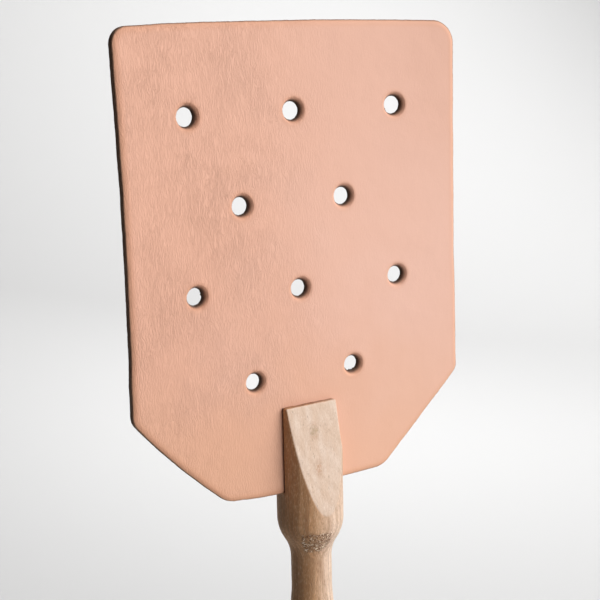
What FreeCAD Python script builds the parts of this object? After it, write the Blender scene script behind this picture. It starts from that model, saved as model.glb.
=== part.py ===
"""A leather fly swatter: a turned wooden handle with a sawn and bevelled fork, a thick leather
flap clamped in the fork, and two wooden pegs through both jaws. Millimetres.

The origin is the centre of the hanging hole, on the handle's axis. +Z runs up the handle to the
flap, X runs across the flap, and -Y is the flap's front. The flap is one sheet of leather. It is
made as a tab and a blade that meet at the line where it bends, just above the fork's tip.
"""
import FreeCAD
import Part

import math
import os

# Handle, from the butt up
HANDLE_LENGTH = 371.0
HANG_HOLE_HEIGHT = 16.0  # above the butt
HANG_HOLE_RADIUS = 2.5
BUTT_ROUNDING = 5.0
GRIP_RADIUS = 9.5
GRIP_LENGTH = 76.0  # the straight grip, with the rounded butt
SHAFT_RADIUS = 6.75
NECK_RADIUS = 6.35
HEAD_RADIUS = 10.3

# Handle, measured down from the fork's tip
SHAFT_TOP = 67.0
NECK_BOTTOM = 59.0
NECK_TOP = 50.0
SHOULDER = 36.5

# Fork
TIP_HALF_THICKNESS = 3.3  # from the flap's middle to the outside of a jaw, at the tip
BEVEL_LENGTH = 33.8
PEG_RADIUS = 1.6
PEGS = {  # name: place across the fork, depth below the tip
    "upper_peg": (-1.1, 7.9),
    "lower_peg": (-1.3, 19.0),
}

# Flap
FLAP_THICKNESS = 2.4
FLAP_TOP = 112.8  # above the fork's tip
FLAP_BOTTOM = 26.8  # below it, on the floor of the slot
FLAP_OFFSET = -1.7  # its middle lies this far across from the handle's axis
TOP_WIDTH = 113.0
BOTTOM_WIDTH = 115.0
CORNER_CUT = 29.0
TOP_CORNER_RADIUS = 5.5
SIDE_CORNER_RADIUS = 5.5
BOTTOM_CORNER_RADIUS = 9.5
LEAN_RADIUS = 1610.0  # above the fork the flap curves gently backwards

# Holes in the flap, punched by hand: rows of three and two by turns, from the top down
HOLE_RADIUS = 2.6
HOLE_PITCH = 34.9
ROW_SPACING = 26.1
TOP_ROW = 87.6  # above the fork's tip
HOLE_ROWS = (3, -0.2), (2, -1.5), (3, -0.3), (2, 0.4)  # holes in the row, and its shift across
STRAY_HOLE = (2, 0)  # row and column of the one hole punched out of line
STRAY_HEIGHT = 1.9  # above its row

# Bend line
BEND_HEIGHT = 16.0  # above the fork's tip
BEND_CLEARANCE = 0.1
BEND_RELIEF = 27.0  # degrees that the blade's lower edge slopes up to each face

TIP = HANDLE_LENGTH - HANG_HOLE_HEIGHT
BUTT = -HANG_HOLE_HEIGHT
FAR = 2.0 * TOP_WIDTH  # beyond every face


def point(radius, height):
    return FreeCAD.Vector(radius, 0, height)


def block(low, high):
    """A box between two opposite corners."""
    low = FreeCAD.Vector(*low)
    size = FreeCAD.Vector(*high) - low
    return Part.makeBox(size.x, size.y, size.z, low)


def prism_along_x(outline, low_x, high_x):
    """A closed outline of (y, z) points, extruded along X."""
    corners = [FreeCAD.Vector(low_x, y, z) for y, z in outline]
    face = Part.Face(Part.makePolygon(corners + corners[:1]))
    return face.extrude(FreeCAD.Vector(high_x - low_x, 0, 0))


def rod_along_y(radius, x, z):
    """A round bar that runs right through the part from front to back."""
    return Part.makeCylinder(radius, 2 * FAR, FreeCAD.Vector(x, -FAR, z), FreeCAD.Vector(0, 1, 0))


def reverse_curve(low_radius, low_z, high_radius, high_z):
    """Two equal arcs that change the turned radius, with a tangent along the axis at both ends."""
    rise = high_z - low_z
    step = high_radius - low_radius
    turn = 2 * math.atan2(abs(step), rise)
    arc_radius = rise / (2 * math.sin(turn))
    sag = math.copysign(arc_radius * (1 - math.cos(turn / 2)), step)
    quarter = arc_radius * math.sin(turn / 2)
    middle = point((low_radius + high_radius) / 2, (low_z + high_z) / 2)
    low = point(low_radius, low_z)
    high = point(high_radius, high_z)
    first = Part.Arc(low, point(low_radius + sag, low_z + quarter), middle)
    second = Part.Arc(middle, point(high_radius - sag, high_z - quarter), high)
    return [first.toShape(), second.toShape()]


def turned_blank():
    """The handle as it leaves the lathe, with no fork."""
    grip_bottom = BUTT + BUTT_ROUNDING
    grip_top = BUTT + GRIP_LENGTH
    diagonal = BUTT_ROUNDING * (1 - math.sqrt(0.5))
    rounding = Part.Arc(
        point(GRIP_RADIUS - BUTT_ROUNDING, BUTT),
        point(GRIP_RADIUS - diagonal, BUTT + diagonal),
        point(GRIP_RADIUS, grip_bottom),
    )
    stretches = [
        [Part.makeLine(point(0, BUTT), point(GRIP_RADIUS - BUTT_ROUNDING, BUTT))],
        [rounding.toShape()],
        [Part.makeLine(point(GRIP_RADIUS, grip_bottom), point(GRIP_RADIUS, grip_top))],
        reverse_curve(GRIP_RADIUS, grip_top, SHAFT_RADIUS, TIP - SHAFT_TOP),
        reverse_curve(SHAFT_RADIUS, TIP - SHAFT_TOP, NECK_RADIUS, TIP - NECK_BOTTOM),
        [Part.makeLine(point(NECK_RADIUS, TIP - NECK_BOTTOM), point(NECK_RADIUS, TIP - NECK_TOP))],
        reverse_curve(NECK_RADIUS, TIP - NECK_TOP, HEAD_RADIUS, TIP - SHOULDER),
        [Part.makeLine(point(HEAD_RADIUS, TIP - SHOULDER), point(HEAD_RADIUS, TIP))],
        [Part.makeLine(point(HEAD_RADIUS, TIP), point(0, TIP))],
        [Part.makeLine(point(0, TIP), point(0, BUTT))],
    ]
    edges = [edge for stretch in stretches for edge in stretch]
    face = Part.Face(Part.Wire(edges))
    return face.revolve(FreeCAD.Vector(0, 0, 0), FreeCAD.Vector(0, 0, 1), 360)


def bevelled_blank():
    """The turned blank with a long flat bevel on the front and back of its head."""
    blank = turned_blank()
    for side in (-1, 1):
        waste = prism_along_x(
            [
                (side * TIP_HALF_THICKNESS, TIP),
                (side * HEAD_RADIUS, TIP - BEVEL_LENGTH),
                (side * 2 * HEAD_RADIUS, TIP - BEVEL_LENGTH),
                (side * 2 * HEAD_RADIUS, TIP + 1),
                (side * TIP_HALF_THICKNESS, TIP + 1),
            ],
            -2 * HEAD_RADIUS,
            2 * HEAD_RADIUS,
        )
        blank = blank.cut(waste)
    return blank


def peg_bar(name):
    x, depth = PEGS[name]
    return rod_along_y(PEG_RADIUS, x, TIP - depth)


def make_handle():
    """The fork's slot, the peg holes and the hanging hole, cut from the bevelled blank."""
    handle = bevelled_blank()
    half = FLAP_THICKNESS / 2
    slot = block((-FAR, -half, TIP - FLAP_BOTTOM), (FAR, half, TIP + 1))
    handle = handle.cut(slot)
    for name in PEGS:
        handle = handle.cut(peg_bar(name))
    return handle.cut(rod_along_y(HANG_HOLE_RADIUS, 0, 0))


def make_peg(name):
    """A peg sanded flush with both bevels."""
    return peg_bar(name).common(bevelled_blank())


def rounded_outline(corners):
    """A closed wire through (x, z, radius) corners, each rounded by its own tangent arc."""
    edges = []
    ends = []
    for i, (x, z, radius) in enumerate(corners):
        corner = point(x, z)
        to_last = (point(*corners[i - 1][:2]) - corner).normalize()
        to_next = (point(*corners[(i + 1) % len(corners)][:2]) - corner).normalize()
        half_angle = to_last.getAngle(to_next) / 2
        start = corner + to_last * (radius / math.tan(half_angle))
        end = corner + to_next * (radius / math.tan(half_angle))
        inward = (to_last + to_next).normalize()
        middle = corner + inward * (radius / math.sin(half_angle) - radius)
        edges.append(Part.Arc(start, middle, end).toShape())
        ends.append((start, end))
    for i, (start, end) in enumerate(ends):
        edges.append(Part.makeLine(end, ends[(i + 1) % len(ends)][0]))
    return Part.Wire(Part.__sortEdges__(edges))


def flap_outline():
    top = TIP + FLAP_TOP
    bottom = TIP - FLAP_BOTTOM
    corners = []
    for side in (-1, 1):
        half = [
            (FLAP_OFFSET + side * TOP_WIDTH / 2, top, TOP_CORNER_RADIUS),
            (FLAP_OFFSET + side * BOTTOM_WIDTH / 2, bottom + CORNER_CUT, SIDE_CORNER_RADIUS),
            (FLAP_OFFSET + side * (BOTTOM_WIDTH / 2 - CORNER_CUT), bottom, BOTTOM_CORNER_RADIUS),
        ]
        corners += half if side < 0 else half[::-1]
    return rounded_outline(corners)


def lean(height):
    """How far back the flap's middle lies at a height above the fork's tip."""
    return LEAN_RADIUS - math.sqrt(LEAN_RADIUS**2 - height**2)


def leaning_slab():
    """The space between the flap's front and back: straight in the fork, then one gentle arc."""
    half = FLAP_THICKNESS / 2
    reach = FLAP_TOP + 10
    turn = math.asin(reach / LEAN_RADIUS)

    def on_arc(radius, angle):
        y = LEAN_RADIUS - radius * math.cos(angle)
        return FreeCAD.Vector(-FAR, y, TIP + radius * math.sin(angle))

    front = [on_arc(LEAN_RADIUS + half, turn * share) for share in (0, 0.5, 1)]
    back = [on_arc(LEAN_RADIUS - half, turn * share) for share in (0, 0.5, 1)]
    front_foot = FreeCAD.Vector(-FAR, -half, TIP - 2 * FLAP_BOTTOM)
    back_foot = FreeCAD.Vector(-FAR, half, TIP - 2 * FLAP_BOTTOM)
    wire = Part.Wire(
        [
            Part.makeLine(front_foot, front[0]),
            Part.Arc(*front).toShape(),
            Part.makeLine(front[2], back[2]),
            Part.Arc(*back[::-1]).toShape(),
            Part.makeLine(back[0], back_foot),
            Part.makeLine(back_foot, front_foot),
        ]
    )
    return Part.Face(wire).extrude(FreeCAD.Vector(2 * FAR, 0, 0))


def hole_places():
    """The (x, z) places of the punched holes."""
    places = []
    for row, (count, shift) in enumerate(HOLE_ROWS):
        for column in range(count):
            x = FLAP_OFFSET + shift + (column - (count - 1) / 2) * HOLE_PITCH
            z = TIP + TOP_ROW - row * ROW_SPACING
            if (row, column) == STRAY_HOLE:
                z += STRAY_HEIGHT
            places.append((x, z))
    return places


def make_flap():
    """The whole sheet, with its punched holes and the pegs' holes."""
    sheet = Part.Face(flap_outline()).extrude(FreeCAD.Vector(0, 2 * FAR, 0))
    sheet.translate(FreeCAD.Vector(0, -FAR, 0))
    flap = sheet.common(leaning_slab())
    for x, z in hole_places():
        flap = flap.cut(rod_along_y(HOLE_RADIUS, x, z))
    for name in PEGS:
        flap = flap.cut(peg_bar(name))
    return flap


def make_tab(flap):
    """The flap up to its bend line."""
    top = TIP + BEND_HEIGHT - BEND_CLEARANCE
    return flap.common(block((-FAR, -FAR, TIP - FAR), (FAR, FAR, top)))


def make_blade(flap):
    """The flap above its bend line, with its lower edge sloped up from the line to each face."""
    line_y = lean(BEND_HEIGHT)
    line_z = TIP + BEND_HEIGHT
    rise = FAR * math.tan(math.radians(BEND_RELIEF))
    above = prism_along_x(
        [
            (line_y, line_z),
            (line_y + FAR, line_z + rise),
            (line_y + FAR, line_z + 2 * FAR),
            (line_y - FAR, line_z + 2 * FAR),
            (line_y - FAR, line_z + rise),
        ],
        -FAR,
        FAR,
    )
    return flap.common(above)


def export(name, shape):
    """One closed solid to its own STEP file."""
    if len(shape.Solids) != 1 or not shape.isValid():
        raise ValueError(f"{name} is not one valid solid")
    solid = shape.Solids[0]
    solid.exportStep(f"parts/{name}.step")
    print(f"{name}: {solid.Volume:.1f} mm3, {len(solid.Faces)} faces")


def main():
    os.makedirs("parts", exist_ok=True)
    flap = make_flap()
    export("handle", make_handle())
    for name in PEGS:
        export(name, make_peg(name))
    export("leather_tab", make_tab(flap))
    export("leather_blade", make_blade(flap))
    print(f"bend line at y {lean(BEND_HEIGHT):.4f}, z {TIP + BEND_HEIGHT:.1f}")


main()
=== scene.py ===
"""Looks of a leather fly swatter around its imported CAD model. Metres, in the CAD model's frame.

The handle and the flap are finer meshes than their CAD solids: worn, eased and a little uneven.
Inside the mesh code lengths are in millimetres and heights count from the fork's tip.
"""
import math
from contextlib import contextmanager

import bmesh
import bpy
import numpy as np
from mathutils import Matrix, Vector, noise
from mathutils.geometry import delaunay_2d_cdt


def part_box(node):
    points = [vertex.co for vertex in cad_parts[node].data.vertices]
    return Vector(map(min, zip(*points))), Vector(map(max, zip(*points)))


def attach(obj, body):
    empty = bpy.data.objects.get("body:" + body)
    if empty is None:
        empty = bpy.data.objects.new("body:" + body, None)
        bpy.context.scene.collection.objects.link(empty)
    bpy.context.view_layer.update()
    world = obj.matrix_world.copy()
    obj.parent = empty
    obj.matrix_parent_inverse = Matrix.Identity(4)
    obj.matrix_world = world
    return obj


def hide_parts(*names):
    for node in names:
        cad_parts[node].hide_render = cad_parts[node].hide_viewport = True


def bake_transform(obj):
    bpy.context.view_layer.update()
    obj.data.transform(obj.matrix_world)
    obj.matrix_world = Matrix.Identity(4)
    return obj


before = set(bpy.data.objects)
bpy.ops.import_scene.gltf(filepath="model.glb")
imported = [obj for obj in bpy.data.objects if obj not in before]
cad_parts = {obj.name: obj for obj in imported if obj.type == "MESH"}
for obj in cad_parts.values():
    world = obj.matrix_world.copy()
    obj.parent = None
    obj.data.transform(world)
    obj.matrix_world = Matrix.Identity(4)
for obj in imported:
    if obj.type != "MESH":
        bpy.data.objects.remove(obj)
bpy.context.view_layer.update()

MM = 0.001

HANDLE_BOX = [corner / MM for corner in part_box("handle")]
TAB_BOX = [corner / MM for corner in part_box("leather_tab")]
TIP = HANDLE_BOX[1].z
BUTT = HANDLE_BOX[0].z - TIP

# Handle: radii, and heights from the fork's tip
GRIP_RADIUS = 9.5
SHAFT_RADIUS = 6.75
NECK_RADIUS = 6.35
HEAD_RADIUS = HANDLE_BOX[1].x
BUTT_ROUNDING = 5.0
GRIP_TOP = BUTT + 76.0
SHAFT_TOP = -67.0
NECK_BOTTOM = -59.0
NECK_TOP = -50.0
SHOULDER = -36.5
TIP_HALF_THICKNESS = 3.3
BEVEL_LENGTH = 33.8
TIP_EASING = 0.45
EDGE_EASING = 0.3  # between a bevel and the turned side

# The fork's sanded right side: how far it lies from the axis, and the heights between which the
# sanding runs out
WORN_RIGHT = 8.1
WORN_TOP = -11.0
WORN_END = -26.0

# Openings in the handle
THICKNESS = 2.4  # of the leather that the slot holds
SLOT_DEPTH = TIP - TAB_BOX[0].z
SLOT_HALF_WIDTH = THICKNESS / 2 + 0.04
SLOT_MOUTH = 0.85  # how much wider each side of the slot is where it breaks out at the sides
SLOT_TOP_FLARE = 0.45  # the share of that by which it widens at the tip
PEG_RADIUS = 1.6
PEG_CLEARANCE = 0.03
HANG_HOLE_RADIUS = 2.5
HANG_HOLE_HEIGHT = -TIP  # the frame's origin
HANG_HOLE_EASING = 1.0

# Unevenness of the wood: how far it strays from the design, and how large its features are
FACETING = (0.05, 7.0)
TURNING_MARKS = (0.03, 1.6)
TORN_GRAIN = (0.12, 0.8)
ROUGH_TIP = (0.2, 1.5)

# Where the lathe tore the end grain in the cove: heights, and round two opposite directions
TEAR_BOTTOM = -47.0
TEAR_TOP = -38.2
TEAR_DIRECTION = np.array((-0.38, -0.925))
TEAR_SPREAD = (0.80, 0.95)

# The flap as it was cut by hand, a little off its design: each corner's x, z and rounding, and
# how far the side from it to the next corner bows outward in the middle, and early rather than
# late. The corners run anticlockwise, seen from the front.
CUT_CORNERS = (
    (-58.6, 112.45, 5.2, -0.5, 0.0),
    (-58.75, 3.9, 5.5, 0.75, 0.0),
    (-29.3, -26.1, 9.5, 0.9, 0.35),
    (27.6, -26.2, 8.0, 0.25, 0.0),
    (56.6, 1.5, 4.5, -1.05, 0.0),
    (54.3, 112.4, 7.0, 0.75, 0.0),
)
FLAP_MIDDLE = (TAB_BOX[0].x + TAB_BOX[1].x) / 2

# Unevenness of the leather: how far it strays, and how large its features are
KNIFE_WOBBLE = (0.14, 9.0)
KNIFE_JITTER = (0.049, 1.6)
WALL_FIBRES = (0.06, 0.5)
RIPPLE = (0.10, 23.0)
HOLE_WOBBLE = (0.06, 2.5)
HOLE_JITTER = (0.04, 0.8)

# The flap's shape in space: a slow backward lean, sides that curl forward, and a twist. The curl
# and the twist have a value at the fork's tip and a growth with each millimetre of height.
LEAN_RADIUS = 1610.0
CURL = (0.00028, 0.00001)
TWIST = (0.009, 0.00023)
# The fork holds it flat inside the first limit and lets it go at the second: across, and in height
HELD_ACROSS = (8, 20)
HELD_HEIGHT = (-2, 12)

# Holes: how many in each row from the top down, and how far the row strays to the right
HOLE_ROWS = (3, -0.2), (2, -1.5), (3, -0.3), (2, 0.4)
HOLE_RADIUS = 2.6
HOLE_CLOSING = 0.1  # how far the leather closes in on the punch
HOLE_PITCH = 34.9
ROW_SPACING = 26.1
TOP_ROW = 87.6
STRAY_HOLE = (2, 0)  # the row and place of a hole punched this much too high
STRAY_HEIGHT = 1.9
HOLE_GROWTH = 0.0037  # the higher a hole is above the blade's middle, the wider its punch went in
BLADE_MIDDLE = 50.0
HOLE_FIBRES = (  # hole, where on its rim in degrees, how wide in degrees, how far it sticks in
    (5, 8, 6, 0.45),
    (5, 27, 5, 0.25),
    (9, 262, 5, 0.50),
    (9, 281, 5, 0.40),
    (9, 300, 6, 0.30),
    (2, 205, 6, 0.25),
)

# Rounded edges: how far each reaches in and how deep, and its shape from 1, round, to 2, a bevel
FRONT_ROLL = (1.8, 0.85, 1.0)
HOLE_ROLL = (1.35, 2.0, 1.5)
BACK_ROLL = (0.35, 0.3, 1.0)

# Fineness of the meshes
RING_POINTS = 240
DENSE_POINTS = 1441  # of the outline that a ring's points are chosen from
HEAD_RING_STEP = 0.4
SHAFT_RING_STEP = 2.5
ROD_POINTS = 64
SHARP_ANGLE = 38  # degrees between faces, past which the wood's edges stay crisp
OUTLINE_STEP = 0.7
GRID_STEP = 1.3
WALL_STEP = 0.4
HOLE_POINTS = 56


# ---------------------------------------------------------------- small helpers

def smoothstep(low, high, value):
    t = np.clip((np.asarray(value, float) - low) / (high - low), 0, 1)
    return t * t * (3 - 2 * t)


def smooth_min(a, b, width):
    """The smaller of two lengths, with the corner between them eased over a width."""
    h = np.maximum(width - np.abs(a - b), 0) / width
    return np.minimum(a, b) - h * h * width / 4


def wavy(points, size, seed=0.0):
    """Smooth noise from -1 to 1 at each point, with features about this large."""
    shift = Vector((seed * 7.31, seed * 3.17, seed * 5.83))
    return np.array([noise.noise(Vector(p) / size + shift) for p in points])


def circle(count):
    """Unit vectors at even steps once round."""
    turn = np.arange(count) * 2 * math.pi / count
    return np.stack([np.cos(turn), np.sin(turn)], 1)


@contextmanager
def edited(obj):
    """The object's mesh as a bmesh, written back afterwards."""
    bm = bmesh.new()
    bm.from_mesh(obj.data)
    yield bm
    bm.to_mesh(obj.data)
    bm.free()


def new_object(name, vertices, faces):
    """A mesh object in metres from millimetre points whose heights count from the tip."""
    points = np.array(vertices, float)
    points[:, 2] += TIP
    mesh = bpy.data.meshes.new(name)
    mesh.from_pydata((points * MM).tolist(), [], [list(map(int, f)) for f in faces])
    mesh.validate()
    obj = bpy.data.objects.new(name, mesh)
    bpy.context.scene.collection.objects.link(obj)
    return obj


def mend(obj):
    """Faces outward and merges doubled points."""
    with edited(obj) as bm:
        bmesh.ops.remove_doubles(bm, verts=bm.verts, dist=1e-6)
        bmesh.ops.recalc_face_normals(bm, faces=bm.faces)


def shade(obj, sharp_degrees):
    """Smooth shading, with edges sharper than this angle left crisp."""
    limit = math.radians(sharp_degrees)
    with edited(obj) as bm:
        for face in bm.faces:
            face.smooth = True
        for edge in bm.edges:
            edge.smooth = len(edge.link_faces) == 2 and edge.calc_face_angle(0) < limit


def points_of(obj):
    """The object's points in millimetres, with heights from the tip."""
    points = np.zeros(len(obj.data.vertices) * 3)
    obj.data.vertices.foreach_get("co", points)
    points = points.reshape(-1, 3) / MM
    points[:, 2] -= TIP
    return points


def store(obj, name, values):
    """A number or vector at each point, for the materials."""
    values = np.asarray(values, np.float32)
    kind, field = ("FLOAT", "value") if values.ndim == 1 else ("FLOAT_VECTOR", "vector")
    obj.data.attributes.new(name, kind, "POINT").data.foreach_set(field, values.ravel())


def tube(rings):
    """Faces between rings of equal length, joined in order."""
    count = len(rings[0])
    faces = []
    for low, high in zip(rings, rings[1:]):
        for i in range(count):
            j = (i + 1) % count
            faces.append((low[i], low[j], high[j], high[i]))
    return faces


def rows_of(count, length):
    """Point numbers in rows of equal length."""
    return [list(range(i * length, (i + 1) * length)) for i in range(count)]


# ---------------------------------------------------------------- handle

def reverse_curve(z, low_z, low_radius, high_z, high_radius):
    """Two equal arcs between two radii, as the CAD model turns them."""
    rise = high_z - low_z
    step = high_radius - low_radius
    turn = 2 * math.atan2(abs(step), rise)
    arc = rise / (2 * math.sin(turn))
    near = np.minimum(z - low_z, high_z - z)
    bulge = arc - np.sqrt(np.maximum(arc**2 - near**2, 0))
    sign = math.copysign(1, step)
    return np.where(z - low_z < rise / 2, low_radius + sign * bulge, high_radius - sign * bulge)


def turned_radius(z):
    """The handle's radius at a height, as it is turned on the lathe."""
    z = np.asarray(z, float)
    butt = np.clip(z - BUTT, 0, BUTT_ROUNDING)
    corner = np.sqrt(np.maximum(BUTT_ROUNDING**2 - (BUTT_ROUNDING - butt) ** 2, 0))
    return np.select(
        [z < GRIP_TOP, z < SHAFT_TOP, z < NECK_BOTTOM, z < NECK_TOP, z < SHOULDER],
        [
            GRIP_RADIUS - BUTT_ROUNDING + corner,
            reverse_curve(z, GRIP_TOP, GRIP_RADIUS, SHAFT_TOP, SHAFT_RADIUS),
            reverse_curve(z, SHAFT_TOP, SHAFT_RADIUS, NECK_BOTTOM, NECK_RADIUS),
            NECK_RADIUS,
            reverse_curve(z, NECK_TOP, NECK_RADIUS, SHOULDER, HEAD_RADIUS),
        ],
        HEAD_RADIUS,
    )


def bevel_y(z):
    """How far from the axis the bevels lie at a height."""
    return TIP_HALF_THICKNESS - z * (HEAD_RADIUS - TIP_HALF_THICKNESS) / BEVEL_LENGTH


def head_section(angles, z):
    """The outside of the handle at a height, as a distance from the axis at each angle."""
    sine, cosine = np.abs(np.sin(angles)), np.cos(angles)
    reach = np.full(len(angles), float(turned_radius(z)))
    flat = bevel_y(z) / np.maximum(sine, 1e-6)
    reach = smooth_min(reach, flat, EDGE_EASING)
    unworn = HEAD_RADIUS + 2 * EDGE_EASING
    right = WORN_RIGHT + (unworn - WORN_RIGHT) * smoothstep(WORN_TOP, WORN_END, z)
    limit = np.where(cosine > 0, right, 2 * HEAD_RADIUS)
    return smooth_min(reach, limit / np.maximum(np.abs(cosine), 1e-6), 2 * EDGE_EASING)


def ring_at(z, shrink=0.0):
    """One ring of the handle. Points share the outline's length and the turn about the axis."""
    dense = np.linspace(0, 2 * math.pi, DENSE_POINTS)
    reach = head_section(dense, z) - shrink
    steps = np.hypot(np.diff(reach * np.cos(dense)), np.diff(reach * np.sin(dense)))
    along = np.concatenate([[0], np.cumsum(steps)])
    share = (along / along[-1] + dense / dense[-1]) / 2
    angles = np.interp(np.arange(RING_POINTS) / RING_POINTS, share, dense)
    reach = np.interp(angles, dense, reach)
    return np.stack([reach * np.cos(angles), reach * np.sin(angles), np.full(RING_POINTS, z)], 1)


def handle_heights():
    """Ring heights: close in the head and at the butt, wide on the plain shaft."""
    head_start = SHAFT_TOP - 2
    butt = BUTT + BUTT_ROUNDING * (1 - np.cos(np.linspace(0, math.pi / 2, 9)))[:-1]
    shaft = np.arange(BUTT + BUTT_ROUNDING, head_start, SHAFT_RING_STEP)
    head = np.arange(head_start, -TIP_EASING, HEAD_RING_STEP)
    return np.concatenate([butt, shaft, head])


def unevenness(points):
    """How far out or in the wood's surface lies from its design, along the ring's radius."""
    z = points[:, 2]
    on_axis = np.stack([z * 0, z * 0, z], 1)
    head = smoothstep(SHAFT_TOP, NECK_TOP, z)
    faceting = FACETING[0] * wavy(points, FACETING[1], seed=1) * head
    turning = TURNING_MARKS[0] * wavy(on_axis, TURNING_MARKS[1], seed=2) * (1 - head)
    cove = smoothstep(TEAR_BOTTOM, TEAR_BOTTOM + 1.5, z) * smoothstep(TEAR_TOP, TEAR_TOP - 1.5, z)
    radius = np.hypot(points[:, 0], points[:, 1]) + 1e-6
    toward = np.abs((points[:, :2] / radius[:, None]) @ TEAR_DIRECTION)
    tears = cove * smoothstep(*TEAR_SPREAD, toward)
    torn = TORN_GRAIN[0] * wavy(points, TORN_GRAIN[1], seed=3) * tears
    return faceting + turning + torn


def make_outside():
    """The turned and bevelled outside, closed at the butt and the tip."""
    rings = [ring_at(z) for z in handle_heights()]
    for share in np.linspace(0, 1, 4):
        turn = share * math.pi / 2
        rings.append(ring_at(-TIP_EASING * (1 - math.sin(turn)), TIP_EASING * (1 - math.cos(turn))))
    points = np.concatenate(rings)
    radius = np.hypot(points[:, 0], points[:, 1])
    out = 1 + unevenness(points) / np.maximum(radius, 1)
    points[:, 0] *= out
    points[:, 1] *= out
    rough = smoothstep(-1.2, 0, points[:, 2])
    points[:, 2] += ROUGH_TIP[0] * rough * wavy(points * (1, 1, 0), ROUGH_TIP[1], seed=4)
    rows = rows_of(len(rings), RING_POINTS)
    vertices = points.tolist()
    faces = tube(rows)
    for row, inner in ((rows[0], 0.7), (rows[-1], 0.9)):
        faces += close_end(vertices, row, inner)
    return vertices, faces


def close_end(vertices, row, first_scale):
    """Smaller and smaller rings, then a fan to the middle. Adds their points to vertices."""
    rim = np.array([vertices[i] for i in row])
    rows = [row]
    for scale in (first_scale, first_scale * 0.66, first_scale * 0.33):
        start = len(vertices)
        vertices += np.stack([rim[:, 0] * scale, rim[:, 1] * scale, rim[:, 2]], 1).tolist()
        rows.append(list(range(start, start + len(row))))
    middle = len(vertices)
    vertices.append([0, 0, float(rim[:, 2].mean())])
    last = rows[-1]
    fan = [(last[i], last[(i + 1) % len(last)], middle) for i in range(len(last))]
    return tube(rows) + fan


def slot_cutter():
    """The sawn slot, a little wider where it breaks out at the sides and the tip."""
    edge = math.sqrt(HEAD_RADIUS**2 - THICKNESS**2 / 4)
    right_side = [(edge - 1.2, 0), (edge + 0.2, 1), (2 * edge, 1)]
    left_side = [(-x, flare) for x, flare in reversed(right_side)]
    columns = left_side + right_side
    rows = [(-SLOT_DEPTH, 0), (-1.3, 0), (0.1, SLOT_TOP_FLARE), (4, SLOT_TOP_FLARE)]
    vertices = []
    for side in (-1, 1):
        for z, top_flare in rows:
            for x, side_flare in columns:
                half = SLOT_HALF_WIDTH + SLOT_MOUTH * max(side_flare, top_flare)
                vertices.append((x, side * half, z))
    return new_object("slot_cutter", vertices, slab_faces(len(rows), len(columns)))


def slab_faces(row_count, column_count):
    """Two grids of points, front then back, closed round their rims."""
    back = row_count * column_count
    faces = []
    for r in range(row_count - 1):
        for c in range(column_count - 1):
            a = r * column_count + c
            quad = (a, a + 1, a + column_count + 1, a + column_count)
            faces.append(quad)
            faces.append(tuple(i + back for i in reversed(quad)))
    bottom = list(range(column_count))
    top = [i + (row_count - 1) * column_count for i in bottom]
    left = [r * column_count for r in range(row_count)]
    right = [i + column_count - 1 for i in left]
    for line in (bottom, top, left, right):
        for a, b in zip(line, line[1:]):
            faces.append((a, b, b + back, a + back))
    return faces


def rod_cutter(name, stations, x, z):
    """A round bar along Y through (y, radius) stations."""
    vertices = []
    for y, radius in stations:
        vertices += [(x + radius * across, y, z + radius * up) for across, up in circle(ROD_POINTS)]
    rows = rows_of(len(stations), ROD_POINTS)
    return new_object(name, vertices, tube(rows) + [rows[0], rows[-1][::-1]])


def cut(obj, cutter):
    """Takes the cutter's shape out of the object."""
    mend(cutter)
    modifier = obj.modifiers.new("cut", "BOOLEAN")
    modifier.operation = "DIFFERENCE"
    modifier.solver = "EXACT"
    modifier.object = cutter
    evaluated = obj.evaluated_get(bpy.context.evaluated_depsgraph_get())
    mesh = bpy.data.meshes.new_from_object(evaluated)
    obj.modifiers.clear()
    obj.data = mesh
    bpy.data.objects.remove(cutter)


def peg_place(name):
    """A peg's place across the fork and its height."""
    low, high = [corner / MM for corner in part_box(name)]
    return (low.x + high.x) / 2, (low.z + high.z) / 2 - TIP


def peg_cutter(name):
    """A peg's bore, right through the fork."""
    radius = PEG_RADIUS + PEG_CLEARANCE
    beyond = 2 * HEAD_RADIUS
    return rod_cutter(name + "_cutter", [(-beyond, radius), (beyond, radius)], *peg_place(name))


def hanging_hole_cutter():
    """A bar that widens towards both ends, to round the hole's rims."""
    eased = HANG_HOLE_RADIUS + HANG_HOLE_EASING
    out = GRIP_RADIUS + 0.1
    back = [(out - 0.9, HANG_HOLE_RADIUS), (out, eased), (out + 1.4, eased + 1)]
    front = [(-y, radius) for y, radius in reversed(back)]
    return rod_cutter("hanging_hole_cutter", front + back, 0, HANG_HOLE_HEIGHT)


def mark_wood(handle):
    """Stores where the wood is freshly bevelled, where it is cut across, and where it lies in the
    slot, which is painted dark as the slot's shade.
    """
    points = points_of(handle)
    off_middle = np.abs(points[:, 1])
    radius = np.hypot(points[:, 0], points[:, 1])
    mouth = SLOT_HALF_WIDTH + SLOT_MOUTH

    beyond = off_middle - bevel_y(points[:, 2])
    under_turning = turned_radius(points[:, 2]) - radius
    bevel = smoothstep(-0.3, -0.12, beyond) * smoothstep(0.02, 0.12, under_turning)
    store(handle, "bevel", (off_middle > mouth + 0.3) * bevel)

    butt = BUTT + TIP_EASING - points[:, 2]
    ends = smoothstep(-0.1, 0.1, np.maximum(points[:, 2], butt))
    # The slot's walls are painted dark, as shade in the crack.
    slot = 1 - smoothstep(SLOT_HALF_WIDTH + 0.6 * SLOT_MOUTH, mouth + 0.1, off_middle)
    painted_slot_shade = slot * (points[:, 2] > -SLOT_DEPTH - 0.1) * (radius < HEAD_RADIUS - 0.03)
    store(handle, "end_grain_and_slot_shade", np.maximum(ends, painted_slot_shade))


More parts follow.
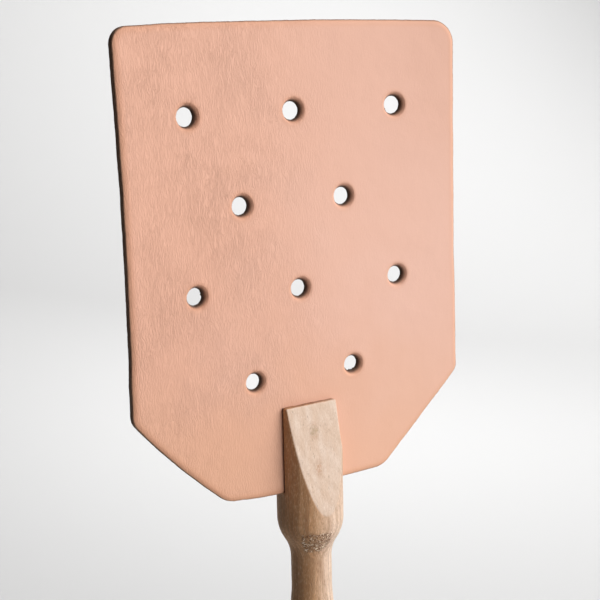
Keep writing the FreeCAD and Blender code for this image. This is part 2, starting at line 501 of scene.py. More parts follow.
def make_handle():
    """The wooden handle with its slot, bores and hanging hole."""
    handle = new_object("handle_wood", *make_outside())
    mend(handle)
    cut(handle, slot_cutter())
    cut(handle, peg_cutter("upper_peg"))
    cut(handle, peg_cutter("lower_peg"))
    cut(handle, hanging_hole_cutter())
    shade(handle, SHARP_ANGLE)
    mark_wood(handle)
    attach(handle, "handle_body")
    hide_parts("handle")
    return handle


# ---------------------------------------------------------------- flap

def along_contour(points, step):
    """The same closed contour with its points evenly spaced about this far apart."""
    closed = np.concatenate([points, points[:1]])
    along = np.concatenate([[0], np.cumsum(np.linalg.norm(np.diff(closed, axis=0), axis=1))])
    count = round(along[-1] / step)
    at = np.arange(count) * along[-1] / count
    return np.stack([np.interp(at, along, closed[:, 0]), np.interp(at, along, closed[:, 1])], 1)


def corner_arc(before, corner, after, radius):
    """Points round a rounded corner, between the two tangent points."""
    back, on = before - corner, after - corner
    back, on = back / np.linalg.norm(back), on / np.linalg.norm(on)
    half = math.acos(float(back @ on)) / 2
    inward = (back + on) / np.linalg.norm(back + on)
    side = (on - back) / np.linalg.norm(on - back)
    centre = corner + inward * radius / math.sin(half)
    turn = np.linspace(-1, 1, 17)[:, None] * (math.pi / 2 - half)
    return centre + radius * (side * np.sin(turn) - inward * np.cos(turn))


def flap_outline():
    """The flap's cut outline, with the knife's bows and wobbles."""
    places = [np.array(corner[:2]) for corner in CUT_CORNERS]
    count = len(places)
    arcs = [
        corner_arc(places[i - 1], places[i], places[(i + 1) % count], CUT_CORNERS[i][2])
        for i in range(count)
    ]
    parts = []
    for i, (_, _, _, bow, skew) in enumerate(CUT_CORNERS):
        start, end = arcs[i][-1], arcs[(i + 1) % count][0]
        share = np.linspace(0, 1, 40)[1:-1, None]
        along = (end - start) / np.linalg.norm(end - start)
        outward = np.array((along[1], -along[0]))
        bulge = bow * 4 * share * (1 - share) + skew * np.sin(2 * math.pi * share)
        parts += [arcs[i], start + (end - start) * share + outward * bulge]
    points = along_contour(np.concatenate(parts), OUTLINE_STEP)
    flat = np.stack([points[:, 0], points[:, 1], points[:, 0] * 0], 1)
    wobble = KNIFE_WOBBLE[0] * wavy(flat, KNIFE_WOBBLE[1], seed=5)
    wobble += KNIFE_JITTER[0] * wavy(flat, KNIFE_JITTER[1], seed=6)
    return points + inward_of(points) * wobble[:, None]


def inward_of(points):
    """Unit vectors at a closed contour's points, towards the area that it encloses."""
    after, before = np.roll(points, -1, 0), np.roll(points, 1, 0)
    along = after - before
    along /= np.linalg.norm(along, axis=1)[:, None]
    inward = np.stack([along[:, 1], -along[:, 0]], 1)
    area = np.sum(points[:, 0] * after[:, 1] - points[:, 1] * after[:, 0])
    return inward if area < 0 else -inward


def hole_centres():
    """Each hole's x and z, row by row."""
    places = []
    for row, (count, shift) in enumerate(HOLE_ROWS):
        for column in range(count):
            x = FLAP_MIDDLE + shift + (column - (count - 1) / 2) * HOLE_PITCH
            z = TOP_ROW - row * ROW_SPACING
            if (row, column) == STRAY_HOLE:
                z += STRAY_HEIGHT
            places.append(np.array((x, z)))
    return places


def hole_contour(centre, seed):
    """A punched hole, nearly round."""
    ring = circle(HOLE_POINTS)
    flat = np.concatenate([ring * HOLE_RADIUS, np.full((HOLE_POINTS, 1), seed * 9.0)], 1)
    radius = HOLE_RADIUS - HOLE_CLOSING + HOLE_GROWTH * (centre[1] - BLADE_MIDDLE)
    radius += HOLE_WOBBLE[0] * wavy(flat, HOLE_WOBBLE[1], seed=7)
    radius += HOLE_JITTER[0] * wavy(flat, HOLE_JITTER[1], seed=8)
    return centre + ring * radius[:, None]


def hole_fibres(hole):
    """How far torn fibres stick into a hole at each point of its contour."""
    turn = np.arange(HOLE_POINTS) * 360 / HOLE_POINTS
    reach = np.zeros(HOLE_POINTS)
    for which, angle, width, length in HOLE_FIBRES:
        away = (turn - angle + 180) % 360 - 180
        reach += (which == hole) * length * np.exp(-((away / width) ** 2))
    return reach


def edge_profile(front, back):
    """(inset, depth) stations round a cut edge, from the flap's front face to its back."""
    half = THICKNESS / 2
    stations = []
    for share in np.linspace(0, 1, 9):
        turn = share * math.pi / 2
        inset = front[0] * (1 - math.sin(turn) ** front[2])
        stations.append((inset, -half + front[1] * (1 - max(math.cos(turn), 0) ** front[2])))
    low, high = -half + front[1], half - back[1]
    steps = max(1, round((high - low) / WALL_STEP))
    stations += [(0.0, low + (high - low) * i / steps) for i in range(1, steps)]
    for share in np.linspace(1, 0, 4):
        turn = share * math.pi / 2
        stations.append((back[0] * (1 - math.sin(turn)), half - back[1] * (1 - math.cos(turn))))
    return stations


def cut_edge(contour, into, roll, fibres):
    """Rings of (x, z, depth) points round an edge, front to back, and how far each is cut wall."""
    rings = []
    walls = []
    for inset, depth in edge_profile(roll, BACK_ROLL):
        ring = contour + into * inset
        deep = np.full((len(ring), 1), depth)
        on_wall = 1 - smoothstep(0.05, 0.45, inset)
        rough = WALL_FIBRES[0] * wavy(np.concatenate([ring, deep], 1), WALL_FIBRES[1], seed=10)
        loose = fibres * smoothstep(-0.6, 0.6, depth)
        ring = ring + into * (on_wall * (rough - loose))[:, None]
        rings.append(np.concatenate([ring, deep], 1))
        walls.append(np.full(len(ring), on_wall))
    return rings, walls


def middle_surface(x, z):
    """How far back the flap's middle lies: upright in the fork, then a slow lean and twist."""
    up = np.maximum(z, 0)
    lean = LEAN_RADIUS - np.sqrt(LEAN_RADIUS**2 - up**2)
    curl = -(CURL[0] + CURL[1] * z) * x**2
    twist = -(TWIST[0] + TWIST[1] * up) * x
    held = (1 - smoothstep(*HELD_ACROSS, np.abs(x))) * (1 - smoothstep(*HELD_HEIGHT, z))
    return lean + (curl + twist) * (1 - 0.9 * held)


def stand_up(flat):
    """Carries (x, z, depth) points on the flat sheet to their places in space."""
    x, z, depth = flat.T
    step = 0.5
    tilt_x = (middle_surface(x + step, z) - middle_surface(x - step, z)) / (2 * step)
    tilt_z = (middle_surface(x, z + step) - middle_surface(x, z - step)) / (2 * step)
    normal = np.stack([-tilt_x, np.ones(len(x)), -tilt_z], 1)
    normal /= np.linalg.norm(normal, axis=1)[:, None]
    on_sheet = np.stack([x, z, x * 0], 1)
    ripple = RIPPLE[0] * wavy(on_sheet, RIPPLE[1], seed=9) * smoothstep(14, 40, np.hypot(x, z))
    middle = np.stack([x, middle_surface(x, z) + ripple, z], 1)
    return middle + normal * depth[:, None]


def inside(contour, points):
    """Which points lie inside a closed contour, by crossings."""
    ends = np.roll(contour, -1, 0)
    crossings = np.zeros(len(points), int)
    for (ax, az), (bx, bz) in zip(contour, ends):
        spans = (points[:, 1] < az) != (points[:, 1] < bz)
        where = ax + (points[:, 1] - az) * (bx - ax) / (bz - az if bz != az else 1.0)
        crossings += spans & (points[:, 0] < where)
    return crossings % 2 == 1


def distance_to(flat, contours):
    """How far across the sheet each point lies from the nearest of these contours."""
    nearest = np.full(len(flat), np.inf)
    for contour in contours:
        for chunk in np.array_split(contour, max(1, len(contour) // 40)):
            gap = np.linalg.norm(flat[:, None, :2] - chunk[None], axis=2).min(1)
            nearest = np.minimum(nearest, gap)
    return nearest


def field_points(outline, centres):
    """Points in staggered rows over the sheet, clear of its edge and of the holes."""
    low, high = outline.min(0), outline.max(0)
    rows = np.arange(low[1], high[1], GRID_STEP * math.sqrt(0.75))
    points = []
    for i, z in enumerate(rows):
        across = np.arange(low[0] + (i % 2) * GRID_STEP / 2, high[0], GRID_STEP)
        points.append(np.stack([across, np.full(len(across), z)], 1))
    points = np.concatenate(points)
    points = points[inside(outline, points)]
    points = points[distance_to(points, [outline]) > FRONT_ROLL[0] + 0.75 * GRID_STEP]
    rim = HOLE_RADIUS + HOLE_ROLL[0]
    for centre in centres:
        away = np.linalg.norm(points - centre, axis=1)
        points = points[away > rim + 0.9 * GRID_STEP]
    ring = (rim + 0.45 * GRID_STEP) * circle(HOLE_POINTS // 2)
    return np.concatenate([points] + [centre + ring for centre in centres])


def fill_face(rims, field):
    """Triangles over a face of the sheet: rims are closed rings of points, the first outermost."""
    given = np.concatenate(rims + [field])
    edges = []
    start = 0
    for rim in rims:
        count = len(rim)
        edges += [(start + i, start + (i + 1) % count) for i in range(count)]
        start += count
    made = delaunay_2d_cdt([Vector(p) for p in given], edges, [], 0, 1e-7)
    points = np.array([tuple(p) for p in made[0]])
    source = [origins[0] for origins in made[3]]
    triangles = np.array(made[2])
    centre = points[triangles].mean(1)
    keep = inside(rims[0], centre)
    for rim in rims[1:]:
        keep &= ~inside(rim, centre)
    return [[source[i] for i in t] for t in triangles[keep]]


def join_sheet(edges, field):
    """The flat sheet's points, how far each is cut wall, and its faces."""
    flat = []
    wall = []
    faces = []
    front = []
    back = []
    for rings, walls in edges:
        start = len(flat)
        rows = [[start + i for i in row] for row in rows_of(len(rings), len(rings[0]))]
        flat += np.concatenate(rings).tolist()
        wall += np.concatenate(walls).tolist()
        faces += tube(rows)
        front.append(rows[0])
        back.append(rows[-1])
    for rims, depth in ((front, -THICKNESS / 2), (back, THICKNESS / 2)):
        start = len(flat)
        places = [np.array([flat[i][:2] for i in rim]) for rim in rims]
        flat += [(x, z, depth) for x, z in field]
        wall += [0.0] * len(field)
        numbers = sum(rims, []) + list(range(start, len(flat)))
        faces += [[numbers[i] for i in t] for t in fill_face(places, field)]
    return np.array(flat), wall, faces


def make_flap():
    """The leather as one sheet, from its edge in the fork to its top."""
    centres = hole_centres()
    outline = flap_outline()
    holes = [hole_contour(centre, seed) for seed, centre in enumerate(centres)]
    edges = [cut_edge(outline, inward_of(outline), FRONT_ROLL, 0.0)]
    for i, hole in enumerate(holes):
        edges.append(cut_edge(hole, -inward_of(hole), HOLE_ROLL, hole_fibres(i)))
    flat, wall, faces = join_sheet(edges, field_points(outline, centres))
    flap = new_object("leather_flap", stand_up(flat), faces)
    hole_gap = distance_to(flat, holes)
    store(flap, "sheet_place", flat)
    store(flap, "cut_wall", wall)
    store(flap, "hole_gap", hole_gap)
    store(flap, "edge_gap", np.minimum(distance_to(flat, [outline]), hole_gap))
    mend(flap)
    shade(flap, 180)
    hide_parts("leather_tab", "leather_blade")
    return flap


# ---------------------------------------------------------------- materials

def rgb(red, green, blue):
    return (red, green, blue, 1.0)


class Shader:
    """A material's node tree, built from inside expressions."""

    def __init__(self, name):
        self.material = bpy.data.materials.new(name)
        self.material.use_nodes = True
        self.tree = self.material.node_tree
        self.surface = self.tree.nodes["Principled BSDF"]

    def add(self, kind, inputs=None, **settings):
        made = self.tree.nodes.new(kind)
        for key, value in settings.items():
            setattr(made, key, value)
        for key, value in (inputs or {}).items():
            self.put(made.inputs[key], value)
        return made

    def put(self, socket, value):
        if isinstance(value, bpy.types.NodeSocket):
            self.tree.links.new(value, socket)
        else:
            socket.default_value = value

    def math(self, operation, a, b=0.0, c=0.0):
        return self.add("ShaderNodeMath", {0: a, 1: b, 2: c}, operation=operation).outputs[0]

    def vector(self, operation, a, b=(0.0, 0.0, 0.0), output="Vector"):
        inputs = {0: a, 1: b}
        return self.add("ShaderNodeVectorMath", inputs, operation=operation).outputs[output]

    def scaled(self, vector, scale):
        return self.vector("MULTIPLY", vector, scale)

    def split(self, vector):
        return self.add("ShaderNodeSeparateXYZ", {0: vector}).outputs[:3]

    def noise(self, vector, scale=1.0, detail=2.0, roughness=0.5, distortion=0.0):
        inputs = {"Vector": vector, "Scale": scale, "Detail": detail, "Roughness": roughness}
        inputs["Distortion"] = distortion
        return self.add("ShaderNodeTexNoise", inputs).outputs["Fac"]

    def band(self, value, low, high, to_low=0.0, to_high=1.0):
        """Maps low..high smoothly to to_low..to_high, clamped."""
        inputs = {"Value": value, "From Min": low, "From Max": high}
        inputs |= {"To Min": to_low, "To Max": to_high}
        return self.add("ShaderNodeMapRange", inputs, interpolation_type="SMOOTHSTEP").outputs[0]

    def mix(self, share, a, b):
        made = self.add("ShaderNodeMix", data_type="RGBA")
        self.put(made.inputs["Factor"], share)
        self.put(made.inputs["A"], a)
        self.put(made.inputs["B"], b)
        return made.outputs["Result"]

    def stained(self, colour, mask, strength, stain):
        """The colour, mixed towards a stain by the mask times a strength."""
        return self.mix(self.math("MULTIPLY", mask, strength), colour, stain)

    def bump(self, height, distance, below=None):
        inputs = {"Height": height, "Distance": distance}
        if below is not None:
            inputs["Normal"] = below
        return self.add("ShaderNodeBump", inputs).outputs["Normal"]

    def attribute(self, name, output="Fac"):
        return self.add("ShaderNodeAttribute", attribute_name=name).outputs[output]

    def finish(self, **inputs):
        """Sets the surface's inputs, such as Base_Color, and gives the material."""
        for name, value in inputs.items():
            self.put(self.surface.inputs[name.replace("_", " ")], value)
        return self.material


# Leather: colours of the face, of what marks it, and of its cut edge and back
# The face's left colour is painted shade and its right colour is painted light, as the key light falls
# from the right.
HIDE_SHADED_LEFT = rgb(0.825, 0.450, 0.318)
HIDE_LIT_RIGHT = rgb(0.860, 0.520, 0.405)
HIDE_LOW = rgb(0.835, 0.455, 0.280)
HIDE_TOP = rgb(0.755, 0.415, 0.295)
HIDE_BLOTCH = rgb(0.74, 0.40, 0.27)
HIDE_CREASE_SHADE = rgb(0.55, 0.27, 0.17)
HIDE_PORE = rgb(0.5, 0.26, 0.17)
HIDE_RIM = rgb(0.72, 0.31, 0.15)
# Cut edge: brown flesh, darkened further by painted shade
FLESH_AND_SHADE = rgb(0.17, 0.080, 0.038), rgb(0.34, 0.18, 0.10)
HOLE_PAINTED_SHADE = rgb(0.055, 0.022, 0.010)
SLOT_PAINTED_SHADOW = rgb(0.12, 0.05, 0.025)
SUEDE = rgb(0.60, 0.36, 0.24), rgb(0.72, 0.47, 0.33)


def hide_tone(s, place, cloud):
    """The face: paler towards the right, which is painted light from the key on that side; redder at
    the bottom and duller at the top.
    """
    across, height, _ = s.split(place)
    rightward = s.math("MULTIPLY_ADD", s.math("SUBTRACT", cloud, 0.5), 90.0, across)
    upward = s.math("MULTIPLY_ADD", cloud, 40.0, height)
    colour = s.mix(s.band(rightward, -45.0, 45.0), HIDE_SHADED_LEFT, HIDE_LIT_RIGHT)
    colour = s.mix(s.band(upward, 50.0, -5.0, 0, 0.55), colour, HIDE_LOW)
    colour = s.mix(s.band(upward, 60.0, 130.0, 0, 0.5), colour, HIDE_TOP)
    blotch = s.noise(s.scaled(place, (1.0, 0.6, 1.0)), 0.16, 4, 0.6)
    return s.mix(s.band(blotch, 0.5, 0.8, 0, 0.06), colour, HIDE_BLOTCH)


def upright_creases(s, place):
    """Ridges with short upright creases between them, and how deep these are at each place."""
    across, height, _ = s.split(place)
    sway = s.scaled(s.noise(place, 0.15, 2, 0.5), (3.0, 0.0, 0.0))
    stretched = s.scaled(s.vector("ADD", place, sway), (1.9, 0.26, 1.0))
    crease = s.noise(stretched, 1.0, 3, 0.6)
    ridge = s.band(s.math("ABSOLUTE", s.math("SUBTRACT", crease, 0.5)), 0.0, 0.10)
    left = s.band(across, 25.0, -30.0, 0.10, 1.0)
    patch = s.band(s.noise(place, 0.055, 2, 0.5), 0.36, 0.62, 0.55, 1.0)
    high = s.band(height, -25.0, 45.0, 0.6, 1.0)
    return ridge, s.math("MULTIPLY", s.math("MULTIPLY", left, patch), high)


def slot_shadow(s, place):
    """Where the leather is hidden between the fork's jaws, painted dark as the slot's shadow."""
    across, height, _ = s.split(place)
    fork_middle = (WORN_RIGHT - HEAD_RADIUS) / 2
    off_middle = s.math("ABSOLUTE", s.math("SUBTRACT", across, fork_middle))
    beside = s.math("SUBTRACT", off_middle, HEAD_RADIUS + fork_middle - 0.2)
    return s.band(s.math("MAXIMUM", beside, height), -0.05, -0.3)


def leather_material():
    s = Shader("natural_leather")
    place = s.attribute("sheet_place", "Vector")  # across, up, and through the sheet
    through = s.split(place)[2]
    wall = s.attribute("cut_wall")
    cloud = s.noise(place, 0.028, 3, 0.55)
    ridge, depth = upright_creases(s, place)
    grain = s.noise(place, 3.1, 3, 0.6)
    pores = s.band(s.noise(place, 2.4, 1, 0.5), 0.70, 0.78)

    colour = hide_tone(s, place, cloud)
    # Painted shade darkens the creases between the ridges.
    crease_shade = s.math("MULTIPLY", s.math("SUBTRACT", 1.0, ridge), depth)
    colour = s.stained(colour, crease_shade, 0.07, HIDE_CREASE_SHADE)
    colour = s.stained(colour, pores, 0.10, HIDE_PORE)

    # The face is redder where it rolls over to a cut edge, which is rough, browner flesh, darkened
    # further with painted shade
    rim = s.band(s.attribute("edge_gap"), 0.0, 2.9, 0.42, 0.0)
    colour = s.mix(rim, colour, HIDE_RIM)
    fibre = s.noise(s.scaled(place, (2.5, 2.5, 6.0)), 1.0, 4, 0.7)
    colour = s.mix(wall, colour, s.mix(s.band(fibre, 0.35, 0.65), *FLESH_AND_SHADE))
    # Painted shade: the leather turns near black deep inside the holes.
    near_hole = s.band(s.attribute("hole_gap"), 1.6, 0.8)
    deep = s.math("MULTIPLY", s.band(through, -0.95, 0.1), near_hole)
    colour = s.stained(colour, deep, 0.85, HOLE_PAINTED_SHADE)

    back = s.band(through, 0.8, 1.15)
    suede = s.mix(s.band(grain, 0.3, 0.7), *SUEDE)
    colour = s.stained(colour, back, s.math("SUBTRACT", 1.0, wall), suede)
    # Painted shadow where the leather lies in the fork's slot.
    colour = s.mix(slot_shadow(s, place), colour, SLOT_PAINTED_SHADOW)

    cells = s.add("ShaderNodeTexVoronoi", {"Vector": place, "Scale": 1.7}, feature="F1").outputs[0]
    rough_wall = s.math("MULTIPLY", fibre, s.math("MAXIMUM", wall, s.math("MULTIPLY", back, 0.5)))
    normal = s.bump(s.math("MULTIPLY", ridge, depth), 0.00008)
    normal = s.bump(s.math("MULTIPLY_ADD", cells, 0.6, grain), 0.00002, below=normal)
    normal = s.bump(rough_wall, 0.0004, below=normal)
    normal = s.bump(s.noise(place, 0.12, 2, 0.5), 0.00018, below=normal)
    return s.finish(
        Base_Color=colour,
        Roughness=s.band(cloud, 0.3, 0.7, 0.52, 0.64),
        Normal=normal,
        Specular_IOR_Level=0.35,
        Sheen_Weight=0.08,
        Sheen_Roughness=0.6,
    )


# Wood: the turned surface is aged, with painted light on the side towards the key light and painted
# shade on the other. The bevels are freshly cut.
PITH = (11.0, 34.0)  # the tree's heart, across and behind the handle's axis
RING_WIDTH = 1.3
PAINTED_LIGHT_DIRECTION = (0.95, -0.3)
AGED_WITH_SHADE = rgb(0.56, 0.275, 0.120), rgb(0.74, 0.410, 0.205)
TURNED_PAINTED_LIGHT = rgb(0.80, 0.60, 0.46), rgb(0.89, 0.70, 0.57)
DARKER_NEAR_FORK = rgb(0.33, 0.150, 0.055)
AGED_STREAK = rgb(0.42, 0.235, 0.125)
DARK_FLECK = rgb(0.36, 0.180, 0.085)
PALE_FLECK = rgb(0.92, 0.670, 0.450)
AGED_LATE_GROWTH = rgb(0.38, 0.200, 0.105)
AGED_DASH = rgb(0.34, 0.190, 0.105)
WOOD_PORE = rgb(0.24, 0.12, 0.06)
FRESH = rgb(0.73, 0.53, 0.395), rgb(0.80, 0.625, 0.505)
FRESH_STREAK = rgb(0.58, 0.39, 0.27)
FRESH_LATE_GROWTH = rgb(0.60, 0.40, 0.27)
FRESH_DARK_DASH = rgb(0.52, 0.36, 0.25)
FRESH_PALE_DASH = rgb(0.92, 0.81, 0.72)
GLUE_STAIN = rgb(0.55, 0.33, 0.21)
TORN_CRACK = rgb(0.24, 0.080, 0.02)
TORN_FIBRE = rgb(0.97, 0.78, 0.58)
END_GRAIN_AND_SLOT_SHADE = rgb(0.27, 0.115, 0.055)
PEG_HEARTS = {"upper_peg": rgb(0.47, 0.33, 0.21), "lower_peg": rgb(0.60, 0.34, 0.22)}
PEG_RING = rgb(0.45, 0.28, 0.18)
PEG_PORE = rgb(0.36, 0.20, 0.12)


def wood_place(s):
    """The wood's own coordinates in millimetres."""
    local = s.add("ShaderNodeTexCoord").outputs["Object"]
    return s.scaled(local, (1 / MM, 1 / MM, 1 / MM))


def late_growth(s, place):
    """The darker end of each year's ring, from the pith outward."""
    across, behind, _ = s.split(place)
    across = s.math("SUBTRACT", across, PITH[0])
    behind = s.math("SUBTRACT", behind, PITH[1])
    squares = s.math("ADD", s.math("POWER", across, 2.0), s.math("POWER", behind, 2.0))
    slow = s.noise(s.scaled(place, (1.0, 1.0, 0.3)), 0.07, 3, 0.5)
    away = s.math("MULTIPLY_ADD", slow, 4.0, s.math("SQRT", squares))
    rings = s.math("FRACT", s.math("DIVIDE", away, RING_WIDTH))
    return s.math("MULTIPLY", s.band(rings, 0.40, 0.93), s.band(rings, 1.0, 0.93))


def distance_from_peg(s, place, name, stretch):
    """How far each point lies from a peg's middle, with each direction stretched by this much."""
    across, height = peg_place(name)
    away = s.vector("SUBTRACT", place, (across, 0.0, height + TIP))
    return s.vector("LENGTH", s.scaled(away, stretch), output="Value")


def glue_stain(s, place, name):
    """A blurred brown patch in the wood round a peg."""
    away = distance_from_peg(s, place, name, (1.0, 0.0, 0.75))
    ragged = s.noise(s.scaled(place, (1.6, 1.6, 0.5)), 1.0, 3, 0.6)
    return s.band(s.math("MULTIPLY_ADD", ragged, 2.6, away), 3.9, 2.1)


def facing(s, place, direction):
    """How far the turned surface faces this way round the axis, from -1 to 1."""
    unit = s.vector("NORMALIZE", s.scaled(place, (1.0, 1.0, 0.0)))
    return s.vector("DOT_PRODUCT", unit, (*direction, 0.0), output="Value")


def torn_patch(s, place):
    """Where the lathe tore the end grain in the cove under the head, front and back."""
    z = s.split(place)[2]
    low, high = TIP + TEAR_BOTTOM, TIP + TEAR_TOP
    zone = s.math("MULTIPLY", s.band(z, low, low + 2), s.band(z, high, high - 2))
    toward = s.band(s.math("ABSOLUTE", facing(s, place, TEAR_DIRECTION)), *TEAR_SPREAD)
    patch = s.math("MULTIPLY", zone, toward)
    return s.band(s.math("MULTIPLY_ADD", s.noise(place, 0.5, 2, 0.6), 1.2, patch), 0.95, 1.25)


def broad_figure(s, place):
    return s.band(s.noise(s.scaled(place, (0.5, 0.5, 0.03)), 1.0, 3, 0.55), 0.32, 0.68)


def long_streaks(s, place):
    return s.noise(s.scaled(place, (3.2, 3.2, 0.11)), 1.0, 4, 0.65)


def fresh_wood(s, place, late):
    """Pale newly cut wood: slow streaks, late-growth lines and many fine upright dashes."""
    streak = long_streaks(s, place)
    dashes = s.noise(s.scaled(place, (5.0, 5.0, 0.9)), 1.0, 3, 0.6)
    fresh = s.mix(broad_figure(s, place), *FRESH)
    fresh = s.mix(s.band(streak, 0.45, 0.75, 0, 0.35), fresh, FRESH_STREAK)
    fresh = s.stained(fresh, late, 0.20, FRESH_LATE_GROWTH)
    fresh = s.mix(s.band(dashes, 0.54, 0.70, 0, 0.45), fresh, FRESH_DARK_DASH)
    return s.mix(s.band(dashes, 0.46, 0.30, 0, 0.40), fresh, FRESH_PALE_DASH)


def turned_wood(s, place, late, streak, dashes):
    """Aged turned wood: painted light on the side towards the key and painted shade away from it,
    darker near the fork, streaked and flecked.
    """
    figure = broad_figure(s, place)
    height = s.split(place)[2]
    flecks = s.noise(s.scaled(place, (3.4, 3.4, 0.75)), 1.0, 3, 0.7)
    # Painted light and painted shade round the axis, by how far the surface faces the key light.
    painted_light = s.band(facing(s, place, PAINTED_LIGHT_DIRECTION), -0.35, 0.75)
    turned = s.mix(painted_light, s.mix(figure, *AGED_WITH_SHADE), s.mix(figure, *TURNED_PAINTED_LIGHT))
    # Darker towards the fork.
    turned = s.mix(s.band(height, TIP - 36.0, TIP - 14.0, 0, 0.45), turned, DARKER_NEAR_FORK)
    turned = s.mix(s.band(streak, 0.42, 0.72, 0, 0.50), turned, AGED_STREAK)
    turned = s.mix(s.band(flecks, 0.52, 0.68, 0, 0.60), turned, DARK_FLECK)
    turned = s.mix(s.band(flecks, 0.48, 0.34, 0, 0.50), turned, PALE_FLECK)
    turned = s.stained(turned, late, 0.40, AGED_LATE_GROWTH)
    return s.mix(s.band(dashes, 0.55, 0.75, 0, 0.35), turned, AGED_DASH)


def bevelled_wood(s, place, late):
    """Fresh wood, stained round the pegs."""
    stain = s.math("MAXIMUM", glue_stain(s, place, "upper_peg"), glue_stain(s, place, "lower_peg"))
    return s.stained(fresh_wood(s, place, late), stain, 0.50, GLUE_STAIN)


def handle_material():
    s = Shader("turned_wood")
    place = wood_place(s)
    late = late_growth(s, place)
    streak = long_streaks(s, place)
    dashes = s.noise(s.scaled(place, (5.5, 5.5, 0.55)), 1.0, 3, 0.6)
    turned = turned_wood(s, place, late, streak, dashes)
    colour = s.mix(s.attribute("bevel"), turned, bevelled_wood(s, place, late))

    # Small dark pores that follow the grain
    pores = s.band(s.noise(s.scaled(place, (2.6, 2.6, 0.42)), 1.0, 2, 0.5), 0.67, 0.74)
    colour = s.stained(colour, pores, 0.45, WOOD_PORE)

    torn = torn_patch(s, place)
    speckle = s.noise(place, 1.25, 2, 0.6, 0.6)
    cracks = s.band(s.math("ABSOLUTE", s.math("SUBTRACT", speckle, 0.52)), 0.045, 0.015)
    colour = s.stained(colour, torn, cracks, TORN_CRACK)
    colour = s.stained(colour, torn, s.band(speckle, 0.56, 0.64), TORN_FIBRE)
    # End grain is darker; the walls of the slot are painted shade.
    colour = s.stained(colour, s.attribute("end_grain_and_slot_shade"), 0.85, END_GRAIN_AND_SLOT_SHADE)

    grain = s.math("SUBTRACT", s.math("MULTIPLY_ADD", dashes, -0.5, streak), pores)
    tears = s.math("MULTIPLY", s.math("SUBTRACT", speckle, cracks), torn)
    swell = s.noise(s.scaled(place, (1.0, 1.0, 0.2)), 0.5, 2, 0.5)
    normal = s.bump(grain, 0.00008)
    normal = s.bump(tears, 0.00025, below=normal)
    normal = s.bump(swell, 0.00012, below=normal)
    roughness = s.band(streak, 0.3, 0.7, 0.50, 0.66)
    return s.finish(Base_Color=colour, Roughness=roughness, Normal=normal, Specular_IOR_Level=0.4)


def peg_material(name):
    """A peg's cut end, close to the wood round it, with a ragged darker heart and open pores."""
    s = Shader(name + "_wood")
    place = wood_place(s)
    away = distance_from_peg(s, place, name, (1.0, 0.15, 1.0))
    strokes = s.noise(s.scaled(place, (2.3, 2.3, 0.9)), 1.0, 3, 0.65)
    heart = s.band(s.math("MULTIPLY_ADD", s.math("SUBTRACT", strokes, 0.5), 5.0, away), 2.1, 0.4)
    rings = s.math("FRACT", s.math("DIVIDE", s.math("MULTIPLY_ADD", strokes, 1.2, away), 0.6))
    pores = s.band(s.noise(s.scaled(place, (3.6, 3.6, 2.2)), 1.0, 2, 0.6), 0.60, 0.70)
    colour = fresh_wood(s, place, late_growth(s, place))
    colour = s.stained(colour, heart, 0.80, PEG_HEARTS[name])
    colour = s.mix(s.band(rings, 0.5, 0.9, 0, 0.18), colour, PEG_RING)
    colour = s.stained(colour, pores, 0.25, PEG_PORE)
    normal = s.bump(s.math("SUBTRACT", strokes, pores), 0.00005)
    return s.finish(Base_Color=colour, Roughness=0.6, Normal=normal, Specular_IOR_Level=0.3)


def dress(obj, material):
    """Gives the object this material alone."""
    obj.data.materials.clear()
    obj.data.materials.append(material)


# ---------------------------------------------------------------- stage, light, camera

VIEW_AZIMUTH = -32.7
VIEW_ELEVATION = 12.16
VIEW_ROLL = -1.34
VIEW_DISTANCE = 369.3 * MM
VIEW_TARGET = Vector((-1.95 * MM, 0, (TIP + 31.75) * MM))
LENS = 74.4
SENSOR = 36.0

# The stage, in metres
STAGE_LEFT = -1.7
STAGE_RIGHT = 3.2
STAGE_FRONT = -1.2
STAGE_BACK = 2.4
STAGE_SWEEP = 1.6
STAGE_HEIGHT = 2.6
STAGE_GREY = rgb(0.60, 0.60, 0.60)
AMBIENT_COLOUR = rgb(1.0, 0.68, 0.42)
AMBIENT_STRENGTH = 0.02


def direction(azimuth, elevation):
    """From the object towards an observer; azimuth 0 is in front of the flap, 90 to its right."""
    a, e = math.radians(azimuth), math.radians(elevation)
    return Vector((math.sin(a) * math.cos(e), -math.cos(a) * math.cos(e), math.sin(e)))


def add_camera():
    back = direction(VIEW_AZIMUTH, VIEW_ELEVATION)
    right = (-back).cross(Vector((0, 0, 1))).normalized()
    up = right.cross(-back)
    roll = math.radians(VIEW_ROLL)
    across = math.cos(roll) * right + math.sin(roll) * up
    upward = math.cos(roll) * up - math.sin(roll) * right
    data = bpy.data.cameras.new("camera")
    data.lens = LENS
    data.sensor_width = SENSOR
    camera = bpy.data.objects.new("camera", data)
    turn = Matrix((across, upward, back)).transposed().to_4x4()
    camera.matrix_world = Matrix.Translation(VIEW_TARGET + back * VIEW_DISTANCE) @ turn
    bpy.context.scene.collection.objects.link(camera)
    bpy.context.scene.camera = camera


def add_area_light(name, target, azimuth, elevation, distance, size, power, spread=180):
    """A round soft light that shines from this direction on the target, out to half the spread."""
    data = bpy.data.lights.new(name, "AREA")
    data.shape = "DISK"
    data.size = size
    data.energy = power
    data.spread = math.radians(spread)
    light = bpy.data.objects.new(name, data)
    toward = direction(azimuth, elevation)
    light.location = target + toward * distance
    light.rotation_euler = toward.to_track_quat("Z", "Y").to_euler()
    light.visible_camera = False
    bpy.context.scene.collection.objects.link(light)


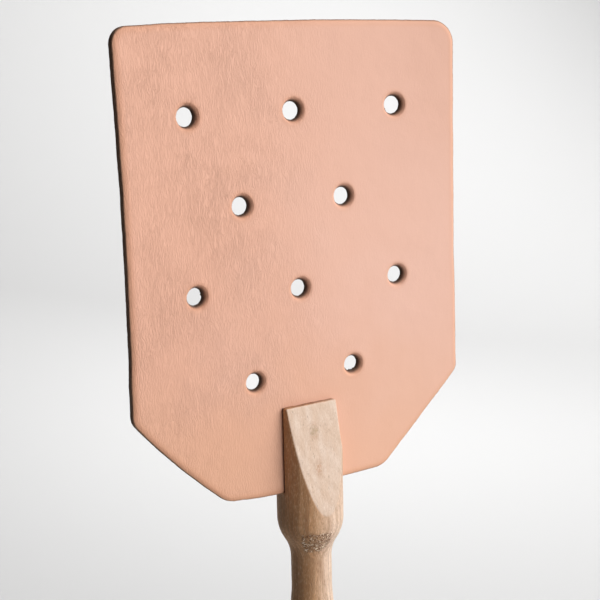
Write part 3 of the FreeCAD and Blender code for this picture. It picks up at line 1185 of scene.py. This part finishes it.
def add_lights():
    """A key light from the front right, one behind the holes, and one aimed at the wall."""
    middle = Vector((0, 0, (TIP + 20) * MM))
    wall = Vector((1.4, 1.9, 0.0))
    behind = 180 + VIEW_AZIMUTH
    add_area_light("key", middle, azimuth=37, elevation=28, distance=1.2, size=1.5, power=22.5)
    add_area_light("back_light", middle, azimuth=behind, elevation=15, distance=1.3, size=0.5, power=5)
    add_area_light(
        "wall_wash", wall, azimuth=0, elevation=60, distance=2.8, size=2.0, power=32, spread=100
    )


def add_world():
    """Faint warm light from all round. The camera sees pale grey beyond the stage."""
    world = bpy.data.worlds.new("world")
    world.use_nodes = True
    nodes, links = world.node_tree.nodes, world.node_tree.links
    ambient = nodes["Background"]
    ambient.inputs["Color"].default_value = AMBIENT_COLOUR
    ambient.inputs["Strength"].default_value = AMBIENT_STRENGTH
    beyond_stage = nodes.new("ShaderNodeBackground")
    beyond_stage.inputs["Color"].default_value = STAGE_GREY
    seen = nodes.new("ShaderNodeMixShader")
    links.new(nodes.new("ShaderNodeLightPath").outputs["Is Camera Ray"], seen.inputs[0])
    links.new(ambient.outputs[0], seen.inputs[1])
    links.new(beyond_stage.outputs[0], seen.inputs[2])
    links.new(seen.outputs[0], nodes["World Output"].inputs["Surface"])
    bpy.context.scene.world = world
    bpy.context.scene.view_settings.view_transform = "Standard"


def stage_material():
    return Shader("pale_stage").finish(Base_Color=STAGE_GREY, Roughness=0.9)


def add_stage():
    """A pale floor that sweeps up into a wall behind the object."""
    floor_z = HANDLE_BOX[0].z * MM
    bend = STAGE_BACK - STAGE_SWEEP
    line = [(STAGE_FRONT, 0.0), (bend, 0.0)]
    for share in np.linspace(0, 1, 25)[1:]:
        turn = share * math.pi / 2
        line.append((bend + STAGE_SWEEP * math.sin(turn), STAGE_SWEEP * (1 - math.cos(turn))))
    line.append((STAGE_BACK, STAGE_HEIGHT))
    points = [(x, y, floor_z + z) for y, z in line for x in (STAGE_LEFT, STAGE_RIGHT)]
    faces = [(2 * i, 2 * i + 1, 2 * i + 3, 2 * i + 2) for i in range(len(line) - 1)]
    mesh = bpy.data.meshes.new("stage")
    mesh.from_pydata(points, [], faces)
    mesh.shade_smooth()
    stage = bpy.data.objects.new("stage", mesh)
    bpy.context.scene.collection.objects.link(stage)
    dress(stage, stage_material())


# ---------------------------------------------------------------- the whole model

add_camera()
add_lights()
add_world()
add_stage()

dress(make_handle(), handle_material())
flap_piece = make_flap()
dress(flap_piece, leather_material())
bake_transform(flap_piece)
for peg in PEG_HEARTS:
    dress(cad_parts[peg], peg_material(peg))
